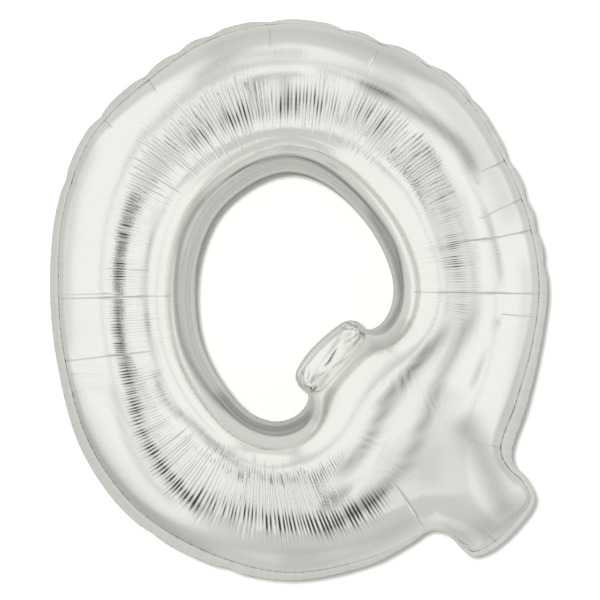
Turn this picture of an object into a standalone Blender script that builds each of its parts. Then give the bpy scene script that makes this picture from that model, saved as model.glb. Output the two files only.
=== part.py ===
"""Foil letter Q balloon, inflated, standing upright and facing -Y.

Two film sheets are welded along a flat outer seam and a flat seam around the
letter's hole. The tail of the Q crosses the ring: its short inner end stands
in the hole as a tongue, and its outer end is the nub at the lower right.
Metres, +Z up, +X to the right, origin in the middle of the letter's box.
"""

import math

import bmesh
import bpy
import numpy as np

# Scale of the outline tables: the letter stands 0.88 m over 565 px of a 600 px frame
METRES_PER_PX = 0.0015575
CENTRE_PX = (298.5, 300.0)

# Film and welds
SHEET_THICKNESS = 0.0020
SEAM_THICKNESS = 0.0016
CONTACT_GAP = 0.0003
SEAM_TUCK = 0.0040
SEAM_TUCK_THINNING = 0.6
SEAM_BARE_STEP = 0.0010
SEAM_STEP_RUN = 0.0004

# Inflated depth: round where the strip is narrow, held back where it is wide
ROUNDNESS = 0.95
DEPTH_LIMIT = 0.102
DEPTH_BLEND = 6.0

# Crease between the tongue and the ring, at its highest
VALLEY_HEIGHT = 0.026

# Mesh density
RING_RIBS = 72
TAIL_RIBS = 16
ACROSS = 10
TONGUE_ROWS = 4
SEAM_DENSITY = 2
CURVE_STEPS = 24

# Outer edge of the seam, clockwise from the right hand corner: x_px, y_px, seam_px
OUTER_EDGE = [
    (512.0, 451.0, 12.0),
    (526.0, 408.0, 12.0),
    (541.0, 343.0, 9.0),
    (547.5, 285.0, 9.0),
    (536.0, 222.0, 7.0),
    (511.0, 160.0, 6.0),
    (462.0, 85.0, 5.5),
    (396.0, 45.0, 5.0),
    (300.0, 19.5, 4.5),
    (216.0, 31.0, 6.0),
    (142.0, 75.5, 8.0),
    (86.0, 132.0, 8.0),
    (57.5, 205.0, 8.0),
    (50.0, 285.0, 9.0),
    (57.5, 365.0, 9.0),
    (82.0, 451.0, 11.0),
    (132.0, 519.0, 12.0),
    (208.0, 563.5, 11.0),
    (290.0, 580.5, 8.5),
    (372.0, 564.0, 7.0),
    (408.0, 545.0, 4.0),
    (431.0, 531.0, 3.0),
    (448.0, 535.0, 3.0),
    (471.0, 556.0, 5.0),
    (490.0, 551.5, 6.0),
    (518.0, 527.0, 6.0),
    (535.0, 500.0, 5.0),
    (527.0, 479.0, 5.0),
    (514.0, 464.0, 7.0),
]
OUTER_CORNER = 21

# Edge of the seam around the hole and the tongue: x_px, y_px, seam_px
HOLE_EDGE = [
    (366.0, 329.0, 3.0),
    (377.0, 327.0, 7.0),
    (389.0, 312.0, 9.0),
    (393.5, 287.0, 9.0),
    (382.0, 249.0, 9.5),
    (355.0, 210.0, 10.0),
    (320.0, 182.0, 11.0),
    (288.0, 173.5, 12.0),
    (255.0, 183.5, 12.0),
    (220.0, 212.0, 12.0),
    (201.0, 252.0, 12.5),
    (195.5, 300.0, 12.5),
    (203.0, 346.0, 12.5),
    (226.0, 388.0, 12.0),
    (252.0, 414.0, 12.0),
    (277.0, 421.5, 12.0),
    (297.0, 415.0, 11.0),
    (307.0, 403.0, 7.0),
    (308.0, 394.0, 3.0),
    (298.0, 387.0, 2.5),
    (294.0, 375.0, 3.0),
    (306.0, 353.0, 3.0),
    (328.0, 331.5, 3.0),
    (346.0, 319.5, 3.0),
    (358.0, 320.5, 2.5),
]
HOLE_CORNER = 18

# Puckers that notch the outer edge: x_px, y_px, depth_px, half_length_px
EDGE_NOTCHES = [
    (270.0, 23.0, 3.0, 20.0),
    (210.0, 35.0, 3.0, 18.0),
    (177.0, 50.0, 2.5, 16.0),
    (145.0, 76.0, 3.0, 18.0),
    (99.0, 116.0, 3.0, 18.0),
    (66.0, 180.0, 2.0, 14.0),
    (345.0, 27.0, 3.0, 18.0),
    (381.0, 42.0, 4.0, 22.0),
    (428.0, 64.0, 4.0, 22.0),
    (471.0, 96.0, 3.0, 16.0),
    (509.0, 158.0, 3.0, 18.0),
    (527.0, 197.0, 2.5, 16.0),
    (537.0, 230.0, 2.5, 16.0),
    (546.0, 264.0, 2.0, 16.0),
    (226.0, 570.0, 2.0, 16.0),
    (150.0, 534.0, 2.0, 16.0),
]

# Fill tab, bent back under the belly and out of sight from the front
TAB_CENTRE_X = -0.013
TAB_WIDTH = 0.046
TAB_THICKNESS = 0.0012
TAB_HOLE_RADIUS = 0.0060
TAB_SLICES = 8

# Centre line of the bent tab, from the seam line at its top: y, z
TAB_PATH = [
    (0.0017, -0.0018),
    (0.0017, -0.0060),
    (0.0028, -0.0086),
    (0.0055, -0.0102),
    (0.0120, -0.0098),
    (0.0240, -0.0072),
    (0.0360, -0.0030),
    (0.0480, 0.0032),
    (0.0600, 0.0112),
]

FILM_COLOUR = (0.62, 0.63, 0.60, 1.0)
SEAM_COLOUR = (0.52, 0.53, 0.50, 1.0)
TAB_COLOUR = (0.70, 0.71, 0.69, 1.0)


def smooth_loop(rows):
    """Closed centripetal Catmull-Rom curve through the rows of a table."""
    points = np.array(rows, float)
    count = len(points)
    out = []
    for i in range(count):
        p = [points[(i + k) % count] for k in (-1, 0, 1, 2)]
        knot = [0.0]
        for a, b in zip(p, p[1:]):
            knot.append(knot[-1] + math.dist(a[:2], b[:2]) ** 0.5)
        for t in np.linspace(knot[1], knot[2], CURVE_STEPS, endpoint=False):
            level = p
            for width in (1, 2, 3):
                mixed = []
                for j in range(len(level) - 1):
                    # The last level blends over the middle span only
                    low, high = (j, j + width) if width < 3 else (1, 2)
                    share = (t - knot[low]) / (knot[high] - knot[low])
                    mixed.append(level[j] * (1 - share) + level[j + 1] * share)
                level = mixed
            out.append(level[0])
    return np.array(out)


def left_normals(points):
    """Unit normals to the left of a closed run of points in the picture."""
    run = np.roll(points, -1, axis=0) - np.roll(points, 1, axis=0)
    run /= np.linalg.norm(run, axis=1)[:, None]
    return np.stack([-run[:, 1], run[:, 0]], axis=1)


def to_metres(points):
    """Picture points as X and Z."""
    x = (points[:, 0] - CENTRE_PX[0]) * METRES_PER_PX
    z = (CENTRE_PX[1] - points[:, 1]) * METRES_PER_PX
    return np.stack([x, z], axis=1)


def notch_depth(points):
    """How far the puckers pull each edge point in, in picture units."""
    depth = np.zeros(len(points))
    for x, y, deep, reach in EDGE_NOTCHES:
        away = np.hypot(points[:, 0] - x, points[:, 1] - y)
        depth = np.maximum(depth, deep * np.clip(1 - away / reach, 0, 1) ** 1.5)
    return depth


def seam_lines(rows, into_film, notched=False):
    """Edge, bare, step, sheet and tuck lines of one seam, in metres.

    The bare line bounds the weld that shows, the film thins from there to the
    step line, the sheet line is where the inflated sheet starts and the tuck
    line is the seam's far side.
    """
    curve = smooth_loop(rows)
    edge = curve[:, :2]
    normal = left_normals(edge) * into_film
    seam = curve[:, 2:3]
    px = 1.0 / METRES_PER_PX
    cut = notch_depth(edge)[:, None] if notched else 0.0
    lines = [
        edge + normal * cut,
        edge + normal * (seam - SEAM_BARE_STEP * px),
        edge + normal * (seam - (SEAM_BARE_STEP - SEAM_STEP_RUN) * px),
        edge + normal * (seam + SHEET_THICKNESS * px),
        edge + normal * (seam + (SHEET_THICKNESS + SEAM_TUCK) * px),
    ]
    return [to_metres(line) for line in lines]


def spaced(line, guide, count):
    """Points of a line at even steps along its guide, both ends included."""
    steps = np.linalg.norm(np.diff(guide, axis=0), axis=1)
    reach = np.concatenate([[0.0], np.cumsum(steps)])
    wanted = np.linspace(0.0, reach[-1], count + 1)
    return np.stack([np.interp(wanted, reach, line[:, k]) for k in (0, 1)], axis=1)


def split_and_space(lines, corner, density):
    """Each line as matched points: round the ring, then along the tail."""
    cut = corner * CURVE_STEPS
    guide = lines[3]
    out = []
    for line in lines:
        closed = np.vstack([line, line[:1]])
        guide_closed = np.vstack([guide, guide[:1]])
        ring = spaced(closed[:cut + 1], guide_closed[:cut + 1], RING_RIBS * density)
        tail = spaced(closed[cut:], guide_closed[cut:], TAIL_RIBS * density)
        out.append((ring, tail))
    return out


def loft(name, rows, closed, ends_meet=False):
    """Mesh of quads between matched rows of points."""
    mesh = bpy.data.meshes.new(name)
    bm = bmesh.new()
    verts = [[bm.verts.new(p) for p in row] for row in rows]
    count = len(rows[0])
    last = count if closed else count - 1
    for low, high in zip(verts, verts[1:]):
        for i in range(last):
            j = (i + 1) % count
            bm.faces.new((low[i], low[j], high[j], high[i]))
    if ends_meet:
        bmesh.ops.remove_doubles(bm, verts=bm.verts, dist=0.00001)
    bm.to_mesh(mesh)
    bm.free()
    return mesh


def material(name, colour, roughness):
    """Principled metal material for one piece."""
    made = bpy.data.materials.new(name)
    made.use_nodes = True
    shader = made.node_tree.nodes["Principled BSDF"]
    shader.inputs["Base Color"].default_value = colour
    shader.inputs["Metallic"].default_value = 1.0
    shader.inputs["Roughness"].default_value = roughness
    return made


def add_object(name, mesh, collection, colour, roughness):
    """Object with its own material, shaded smooth."""
    made = bpy.data.objects.new(name, mesh)
    collection.objects.link(made)
    mesh.materials.append(material(name, colour, roughness))
    mesh.shade_smooth()
    return made


def add_solidify(made, thickness, offset):
    """Thickness for an open surface."""
    solid = made.modifiers.new("thickness", "SOLIDIFY")
    solid.thickness = thickness
    solid.offset = offset
    return solid


def inflated_heights(points, triangles, pinned):
    """Height of a sheet inflated over its flat outline.

    A soap film under an even load sags as the square of a round tube's depth,
    so the root of its sag is round over a strip and smooth at a crossing.
    """
    count = len(points)
    stiffness = np.zeros((count, count))
    load = np.zeros(count)
    for corners in triangles:
        for turn in range(3):
            a, b, c = (corners[(turn + k) % 3] for k in range(3))
            first = points[a] - points[c]
            second = points[b] - points[c]
            twice_area = abs(first[0] * second[1] - first[1] * second[0])
            weight = 0.5 * first.dot(second) / twice_area
            stiffness[a, b] -= weight
            stiffness[b, a] -= weight
            stiffness[a, a] += weight
            stiffness[b, b] += weight
            load[c] += twice_area / 6
    for vertex, height in pinned.items():
        stiffness[vertex] = 0.0
        stiffness[vertex, vertex] = 1.0
        load[vertex] = height ** 2 / 2
    return np.sqrt(2 * np.maximum(np.linalg.solve(stiffness, load), 0.0))


def limited_depth(round_height):
    """Depth the film allows for the height of a fully round section."""
    if round_height <= 0:
        return 0.0
    blend = (ROUNDNESS * round_height) ** -DEPTH_BLEND + DEPTH_LIMIT ** -DEPTH_BLEND
    return blend ** (-1 / DEPTH_BLEND)


def flat_sheet(hole_lines, outer_lines):
    """Flat outline of one sheet as rows of points, and the valley's heights."""
    hole_ring, hole_tail = hole_lines[3]
    outer_ring, outer_tail = outer_lines[3]
    swell = np.sin(np.linspace(0.0, math.pi, TAIL_RIBS + 1))
    swell[-1] = 0.0
    share = np.linspace(0.0, 1.0, TAIL_RIBS + 1)[:, None]
    valley = hole_tail[0] + (hole_tail[-1] - hole_tail[0]) * share
    inner = np.vstack([hole_ring[:-1], valley[:-1]])
    outer = np.vstack([outer_ring[:-1], outer_tail[:-1]])
    across = [(1 - math.cos(math.pi * k / ACROSS)) / 2 for k in range(ACROSS + 1)]
    main = [inner + (outer - inner) * step for step in across]
    rows = [(1 - math.cos(math.pi * k / TONGUE_ROWS)) / 2 for k in range(TONGUE_ROWS + 1)]
    tongue = [valley + (hole_tail - valley) * step for step in rows]
    return main, tongue, VALLEY_HEIGHT * swell ** 0.8


def sheet_mesh(name, side, hole_lines, outer_lines):
    """One inflated sheet; side is -1 for the front and +1 for the back."""
    main_rows, tongue_rows, valley_heights = flat_sheet(hole_lines, outer_lines)
    mesh = bpy.data.meshes.new(name)
    bm = bmesh.new()
    main = [[bm.verts.new((x, 0.0, z)) for x, z in row] for row in main_rows]
    valley = main[0][RING_RIBS:] + [main[0][0]]
    tongue = [valley]
    for row in tongue_rows[1:]:
        inside = [bm.verts.new((x, 0.0, z)) for x, z in row[1:-1]]
        tongue.append([valley[0]] + inside + [valley[-1]])
    around = len(main[0])
    for low, high in zip(main, main[1:]):
        for i in range(around):
            j = (i + 1) % around
            bm.faces.new((low[i], low[j], high[j], high[i]))
    for low, high in zip(tongue, tongue[1:]):
        for i in range(TAIL_RIBS):
            # The tongue's ends are points, so its end faces are triangles
            corners = dict.fromkeys((low[i + 1], low[i], high[i], high[i + 1]))
            bm.faces.new(tuple(corners))

    # The seam stays flat and the valley at the tongue's root is held low
    bm.verts.index_update()
    pinned = {v.index: 0.0 for v in bm.verts if v.is_boundary}
    for i in range(1, TAIL_RIBS):
        pinned[valley[i].index] = valley_heights[i]
    points = [np.array((v.co.x, v.co.z)) for v in bm.verts]
    triangles = []
    for face in bm.faces:
        corners = [v.index for v in face.verts]
        for k in range(1, len(corners) - 1):
            triangles.append((corners[0], corners[k], corners[k + 1]))
    heights = inflated_heights(points, triangles, pinned)

    seat = SEAM_THICKNESS / 2 + CONTACT_GAP
    for vertex in bm.verts:
        vertex.co.y = side * (limited_depth(heights[vertex.index]) + seat)
    if side < 0:
        bmesh.ops.reverse_faces(bm, faces=bm.faces)
    bm.to_mesh(mesh)
    bm.free()
    return mesh


def seam_mesh(name, lines):
    """Flat band between the edge, bare, step and tuck lines of a seam."""
    rows = []
    for line in (lines[0], lines[1], lines[2], lines[4]):
        ring, tail = line
        points = np.vstack([ring[:-1], tail[:-1]])
        rows.append([(x, 0.0, z) for x, z in points])
    return loft(name, rows, closed=True)


def tab_mesh(name, top_z):
    """Bent strip of the fill tab."""
    rows = []
    for y, z in TAB_PATH:
        row = []
        for k in range(TAB_SLICES + 1):
            x = TAB_CENTRE_X + TAB_WIDTH * (k / TAB_SLICES - 0.5)
            row.append((x, y, top_z + z))
        rows.append(row)
    return loft(name, rows, closed=False)


def main():
    for old in list(bpy.data.objects):
        bpy.data.objects.remove(old, do_unlink=True)
    balloon = bpy.data.collections.new("foil_letter_balloon")
    cutters = bpy.data.collections.new("cutters")
    for made in (balloon, cutters):
        bpy.context.scene.collection.children.link(made)

    # Matched seam lines, coarse for the sheets and fine for the flat seams
    outer = seam_lines(OUTER_EDGE, -1, notched=True)
    hole = seam_lines(HOLE_EDGE, 1)
    outer_coarse = split_and_space(outer, OUTER_CORNER, 1)
    hole_coarse = split_and_space(hole, HOLE_CORNER, 1)
    outer_fine = split_and_space(outer, OUTER_CORNER, SEAM_DENSITY)
    hole_fine = split_and_space(hole, HOLE_CORNER, SEAM_DENSITY)

    # Inflated sheets, thickened outwards from the seam
    for name, side in (("front_sheet", -1), ("back_sheet", 1)):
        mesh = sheet_mesh(name, side, hole_coarse, outer_coarse)
        made = add_object(name, mesh, balloon, FILM_COLOUR, 0.25)
        add_solidify(made, SHEET_THICKNESS, 1.0)

    # Flat welded seams, outside and around the hole
    for name, lines in (("outer_seam", outer_fine), ("hole_seam", hole_fine)):
        made = add_object(name, seam_mesh(name, lines), balloon, SEAM_COLOUR, 0.32)
        solid = add_solidify(made, SEAM_THICKNESS, 0.0)

        # Full thickness out to the bare line, less where it is tucked between the sheets
        weld = made.vertex_groups.new(name="weld")
        weld.add(range(len(made.data.vertices) // 2), 1.0, "REPLACE")
        solid.vertex_group = weld.name
        solid.thickness_vertex_group = SEAM_TUCK_THINNING

    # Fill tab under the belly, with its punched fill hole
    lowest = min(z for x, z in outer[3]) - SHEET_THICKNESS
    tab = add_object("fill_tab", tab_mesh("fill_tab", lowest), balloon, TAB_COLOUR, 0.35)
    add_solidify(tab, TAB_THICKNESS, 0.0)
    bpy.ops.mesh.primitive_cylinder_add(
        vertices=20,
        radius=TAB_HOLE_RADIUS,
        depth=0.030,
        location=(TAB_CENTRE_X, TAB_PATH[-3][0], lowest + TAB_PATH[-3][1]),
    )
    punch = bpy.context.object
    punch.name = "fill_hole_punch"
    for home in list(punch.users_collection):
        home.objects.unlink(punch)
    cutters.objects.link(punch)
    punch.hide_render = True
    punch.display_type = "WIRE"
    cut = tab.modifiers.new("fill_hole", "BOOLEAN")
    cut.operation = "DIFFERENCE"
    cut.object = punch


main()
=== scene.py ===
"""Silver foil letter Q balloon in a white studio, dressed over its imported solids."""

import math

import bpy
import numpy as np
from bpy.props import FloatProperty, FloatVectorProperty, IntProperty, PointerProperty
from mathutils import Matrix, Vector


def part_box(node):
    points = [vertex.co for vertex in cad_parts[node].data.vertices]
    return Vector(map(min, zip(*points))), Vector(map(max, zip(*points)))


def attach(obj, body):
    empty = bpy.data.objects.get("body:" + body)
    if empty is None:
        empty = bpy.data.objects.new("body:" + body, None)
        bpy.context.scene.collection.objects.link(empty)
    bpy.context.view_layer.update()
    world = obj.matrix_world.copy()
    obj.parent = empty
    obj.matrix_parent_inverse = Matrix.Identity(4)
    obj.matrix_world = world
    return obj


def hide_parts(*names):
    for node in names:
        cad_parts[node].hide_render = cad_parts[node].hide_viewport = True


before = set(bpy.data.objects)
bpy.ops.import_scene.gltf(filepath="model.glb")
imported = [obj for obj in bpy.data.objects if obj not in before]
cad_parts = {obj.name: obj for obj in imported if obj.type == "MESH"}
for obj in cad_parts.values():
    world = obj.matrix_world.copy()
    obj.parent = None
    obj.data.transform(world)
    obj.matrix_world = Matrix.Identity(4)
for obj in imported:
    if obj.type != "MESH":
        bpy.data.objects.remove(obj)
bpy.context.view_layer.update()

bl_info = {
    "name": "Foil Letter Balloon",
    "version": (1, 0, 0),
    "blender": (4, 5, 0),
    "location": "View3D > Sidebar > Balloon",
    "description": "Builds a puckered silver foil letter Q and its studio",
    "category": "Object",
}

# Picture frame of 600 by 600 px, and the letter's scale in it
METRES_PER_PX = 0.0015575
CENTRE_PX = (298.5, 300.0)
FRAME_PX = 600.0
CAMERA_DISTANCE = 4.0
SENSOR_MM = 36.0
MM = 0.001

# Inflated form, as in the solids: how round it is, its greatest depth and how sharply that
# cuts in, how far it stands off the seam, the gap at the seam, and the valley by the tongue
ROUNDNESS = 0.95
DEPTH_LIMIT = 0.102
DEPTH_BLEND = 6.0
SHEET_STAND = 0.002
SEAM_GAP = 0.0003
VALLEY_HEIGHT = 0.026
VALLEY_FULLNESS = 0.8

# Width and length of the ring's strip of film, and its slow unevenness
STRIP_WIDTH = 0.150
RING_LENGTH = 1.85
SWELL = 0.0009
SWELL_PX = 38.0

# Coarse cells that the inflated form is solved on
RING_CELLS = 144
TAIL_CELLS = 36
ACROSS_CELLS = 14
TONGUE_CELLS = 8

# Rows and columns of the fine meshes; the ring's columns are a property
FILM_ROWS = 40
TAIL_COLUMNS = 260
TONGUE_ROWS = 22
SEAM_COLUMNS = (1500, 300)
TAB_GRID = (72, 48)

# Points between two rows of an edge's table, and between two points of a band's line
EDGE_STEPS = 96
LINE_STEPS = 30

# Outer edge of the seam, clockwise from the right hand corner: x_px, y_px, seam_px
OUTER_EDGE = [
    (512, 451, 12), (526, 408, 12), (541, 343, 9), (547.5, 285, 9), (536, 222, 7),
    (511, 160, 6), (462, 85, 5.5), (396, 45, 5), (300, 19.5, 4.5), (216, 31, 6), (142, 75.5, 8),
    (86, 132, 8), (57.5, 205, 8), (50, 285, 9), (57.5, 365, 9), (82, 451, 11), (132, 519, 12),
    (208, 563.5, 11), (290, 580.5, 8.5), (372, 564, 7), (408, 545, 4), (431, 531, 3),
    (448, 535, 3), (471, 556, 5), (490, 551.5, 6), (518, 527, 6), (535, 500, 5), (527, 479, 5),
    (514, 464, 7),
]
OUTER_CORNER = 21

# Edge of the seam around the hole and the tongue: x_px, y_px, seam_px
HOLE_EDGE = [
    (366, 329, 3), (377, 327, 7), (389, 312, 9), (393.5, 287, 9), (382, 249, 9.5),
    (355, 210, 10), (320, 182, 11), (288, 173.5, 12), (255, 183.5, 12), (220, 212, 12),
    (201, 252, 12.5), (195.5, 300, 12.5), (203, 346, 12.5), (226, 388, 12), (252, 414, 12),
    (277, 421.5, 12), (297, 415, 11), (307, 403, 7), (308, 394, 3), (299, 386.2, 1.2),
    (295.5, 375.1, 1.5), (307.2, 353.9, 1.5), (328.9, 332.7, 1.5), (346.4, 321, 1.5),
    (357.5, 321.6, 1.2),
]
HOLE_CORNER = 18

# Each seam: its edge, the row at the tail's corner, the side that its film lies on, whether
# puckers notch it, and the seed of its ripples
OUTER_SEAM = (OUTER_EDGE, OUTER_CORNER, -1, True, 5)
HOLE_SEAM = (HOLE_EDGE, HOLE_CORNER, 1, False, 8)

# Puckers that notch the outer edge: x_px, y_px, depth_px, half_length_px
EDGE_NOTCHES = [
    (270, 23, 3, 20), (210, 35, 3, 18), (177, 50, 2.5, 16), (145, 76, 3, 18), (99, 116, 3, 18),
    (66, 180, 2, 14), (345, 27, 3, 18), (381, 42, 4, 22), (428, 64, 4, 22), (471, 96, 3, 16),
    (509, 158, 3, 18), (527, 197, 2.5, 16), (537, 230, 2.5, 16), (546, 264, 2, 16),
    (226, 570, 2, 16), (150, 534, 2, 16),
]

# Soft gather behind each notch: its depth as a share of the notch's, and its width
GATHER_SHARE = 0.30
GATHER_MM = 16.0

# Lean of the puckers from straight across the strip: place on the ring from the
# right hand corner over the top, then run along the ring for a run across it
PUCKER_LEAN = [
    (0, 0), (0.06, 0.1), (0.09, 0.16), (0.15, 0), (0.19, -0.06), (0.24, -0.11), (0.27, -0.06),
    (0.3, 0.02), (0.325, 0.24), (0.35, 0.22), (0.38, 0.02), (0.42, 0.14), (0.46, 0.27),
    (0.5, 0.33), (0.55, 0.26), (0.6, 0.18), (0.64, 0), (0.68, -0.36), (0.72, -0.52),
    (0.75, -0.6), (0.78, -0.48), (0.81, -0.4), (0.84, -0.24), (0.87, -0.08), (0.9, 0.04),
    (0.93, 0.12), (0.97, 0.04), (1, 0),
]

# Layers of puckers on the front: seed and share of the usual spacing, then place on
# the ring, inner and outer reach across the strip and depth_mm
FRONT_PUCKERS = [
    (11, 1, [
        (0, 0.2, 0.4, 0), (0.06, 0.15, 0.5, 0.1), (0.1, 0.15, 0.56, 0.34),
        (0.15, 0.15, 0.58, 0.36), (0.19, 0.25, 0.52, 0.4), (0.24, 0.24, 0.58, 0.65),
        (0.3, 0.18, 0.66, 0.75), (0.345, 0.18, 0.62, 0.65), (0.36, 0.18, 0.46, 0.45),
        (0.385, 0.18, 0.46, 0.45), (0.395, 0.16, 0.64, 0.6), (0.45, 0.14, 0.68, 0.7),
        (0.5, 0.18, 0.66, 0.7), (0.56, 0.22, 0.58, 0.6), (0.6, 0.3, 0.58, 0.5),
        (0.65, 0.14, 0.6, 0.45), (0.7, 0.14, 0.62, 0.5), (0.75, 0.3, 0.62, 0.7),
        (0.8, 0.26, 0.74, 0.85), (0.84, 0.2, 0.77, 0.85), (0.88, 0.16, 0.78, 0.7),
        (0.925, 0.16, 0.78, 0.55), (0.94, 0.2, 0.6, 0.1), (1, 0.2, 0.4, 0),
    ]),
    (23, 0.55, [
        (0, 0.3, 0.5, 0), (0.06, 0.18, 0.44, 0.22), (0.15, 0.2, 0.56, 0.28),
        (0.19, 0.28, 0.56, 0.26), (0.25, 0.28, 0.54, 0.22), (0.34, 0.24, 0.5, 0.22),
        (0.4, 0.3, 0.56, 0.22), (0.5, 0.34, 0.58, 0.26), (0.6, 0.4, 0.58, 0.2),
        (0.7, 0.36, 0.6, 0.06), (0.78, 0.4, 0.64, 0.06), (0.85, 0.3, 0.6, 0.22),
        (0.93, 0.4, 0.6, 0.1), (1, 0.4, 0.6, 0),
    ]),
    (37, 0.55, [
        (0, 0.66, 0.74, 0), (0.13, 0.66, 0.8, 0.05), (0.15, 0.64, 0.82, 0.25),
        (0.2, 0.64, 0.8, 0.25), (0.215, 0.62, 0.76, 0.05), (0.25, 0.56, 0.72, 0.3),
        (0.345, 0.56, 0.7, 0.32), (0.36, 0.58, 0.68, 0), (0.385, 0.58, 0.68, 0),
        (0.4, 0.56, 0.72, 0.28), (0.5, 0.56, 0.72, 0.24), (0.54, 0.56, 0.72, 0),
        (0.64, 0.62, 0.9, 0), (0.67, 0.62, 0.92, 0.26), (0.71, 0.62, 0.92, 0.26),
        (0.75, 0.58, 0.72, 0.34), (0.8, 0.6, 0.78, 0.42), (0.86, 0.62, 0.8, 0.42),
        (0.925, 0.6, 0.78, 0.36), (0.94, 0.6, 0.76, 0.05), (1, 0.6, 0.76, 0),
    ]),
]

# Layers of puckers on the back, which the picture does not show
BACK_PUCKERS = [
    (57, 1, [
        (0, 0.2, 0.4, 0), (0.06, 0.16, 0.52, 0.2), (0.16, 0.16, 0.56, 0.4),
        (0.23, 0.2, 0.66, 0.7), (0.3, 0.18, 0.7, 0.6), (0.36, 0.18, 0.6, 0.7),
        (0.43, 0.16, 0.68, 0.6), (0.52, 0.2, 0.66, 0.75), (0.6, 0.2, 0.58, 0.45),
        (0.7, 0.16, 0.62, 0.6), (0.78, 0.24, 0.7, 0.75), (0.86, 0.2, 0.72, 0.8),
        (0.93, 0.2, 0.64, 0.4), (1, 0.2, 0.4, 0),
    ]),
    (71, 0.55, [
        (0, 0.4, 0.6, 0), (0.08, 0.3, 0.56, 0.14), (0.25, 0.3, 0.7, 0.26),
        (0.42, 0.36, 0.6, 0.2), (0.56, 0.4, 0.72, 0.28), (0.7, 0.4, 0.6, 0.2),
        (0.85, 0.4, 0.76, 0.3), (0.94, 0.4, 0.6, 0.08), (1, 0.4, 0.6, 0),
    ]),
]

# Spacing of the puckers round the ring: place on the ring, columns of the grid
PUCKER_SPACING = [
    (0, 6), (0.06, 5), (0.18, 5.4), (0.25, 7), (0.45, 7.4), (0.52, 6), (0.6, 5), (0.72, 5),
    (0.78, 5.6), (0.85, 6.6), (0.93, 6.6), (1, 6),
]

# How much single puckers differ: spacing, vigour, and the shares of their reach by which
# they start late and stop early; then how many clusters of strong ones the ring has
SPACING_SPREAD = (0.75, 1.3)
VIGOUR_SPREAD = (0.35, 1.25)
START_SPREAD = (-0.05, 0.30)
STOP_SPREAD = (-0.04, 0.22)
CLUSTERS = 60

# Breaks in the dark strokes: length in columns and rows of the grid, and seed
BREAK_COLUMNS = 5.5
BREAK_ROWS = 4.0
BREAK_SEED = 77

# Single folds on the front: depth_mm, width_mm, then the fold's points in px
FRONT_FOLDS = [
    (0.8, 1.3, [(52, 299), (110, 297.5), (172, 296)]),
    (0.5, 1.2, [(60, 295), (120, 293.5)]),
    (0.7, 1.3, [(59, 362), (118, 355), (157, 350)]),
    (0.5, 1.3, [(63, 376), (80, 373)]),
    (0.5, 1.3, [(67, 396), (84, 391)]),
    (0.9, 1.5, [(510, 159), (493, 166), (477, 174)]),
    (0.8, 1.5, [(526, 197), (500, 209), (479, 219)]),
    (1.1, 1.6, [(536, 229), (493, 238), (464, 242), (438, 251)]),
    (1.1, 1.5, [(538, 294), (480, 293), (414, 292)]),
    (0.6, 1.4, [(500, 314), (535, 317)]),
    (0.7, 1.6, [(393, 481), (408, 502), (425, 529)]),
    (0.7, 1.6, [(462, 440), (506, 449)]),
    (0.6, 1.6, [(483, 527), (495, 541), (501, 535)]),
    (0.5, 1.5, [(475, 174), (485, 206), (495, 240), (501, 270), (504, 298), (500, 318)]),
    (0.4, 1.3, [(501, 312), (492, 338), (478, 372), (462, 412)]),
    (0.5, 1.4, [(270, 27), (269, 46)]),
    (0.5, 1.4, [(379, 48), (369, 71)]),
    (0.5, 1.3, [(471, 98), (464, 105)]),
    (0.5, 1.4, [(66, 180), (80, 185)]),
    (0.5, 1.4, [(100, 116), (113, 128)]),
    (0.5, 1.4, [(145, 76), (156, 90)]),
]

# Single folds on the back, which the picture does not show
BACK_FOLDS = [
    (0.9, 1.8, [(60, 250), (120, 262)]),
    (0.8, 1.8, [(84, 440), (130, 416)]),
    (1, 1.8, [(150, 76), (176, 112)]),
    (0.8, 1.8, [(330, 24), (326, 60)]),
    (1, 1.9, [(480, 112), (448, 140)]),
    (1.1, 1.9, [(538, 250), (470, 262), (430, 262)]),
    (0.8, 1.7, [(540, 330), (500, 326)]),
    (0.9, 1.9, [(250, 574), (258, 530)]),
    (0.8, 1.8, [(390, 488), (424, 528)]),
    (0.8, 1.8, [(466, 440), (506, 449)]),
]

# A fold's soft shoulder: how many times wider and how much shallower than the fold
SHOULDER_WIDTH = 3.5
SHOULDER_DEPTH = 0.6

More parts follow.
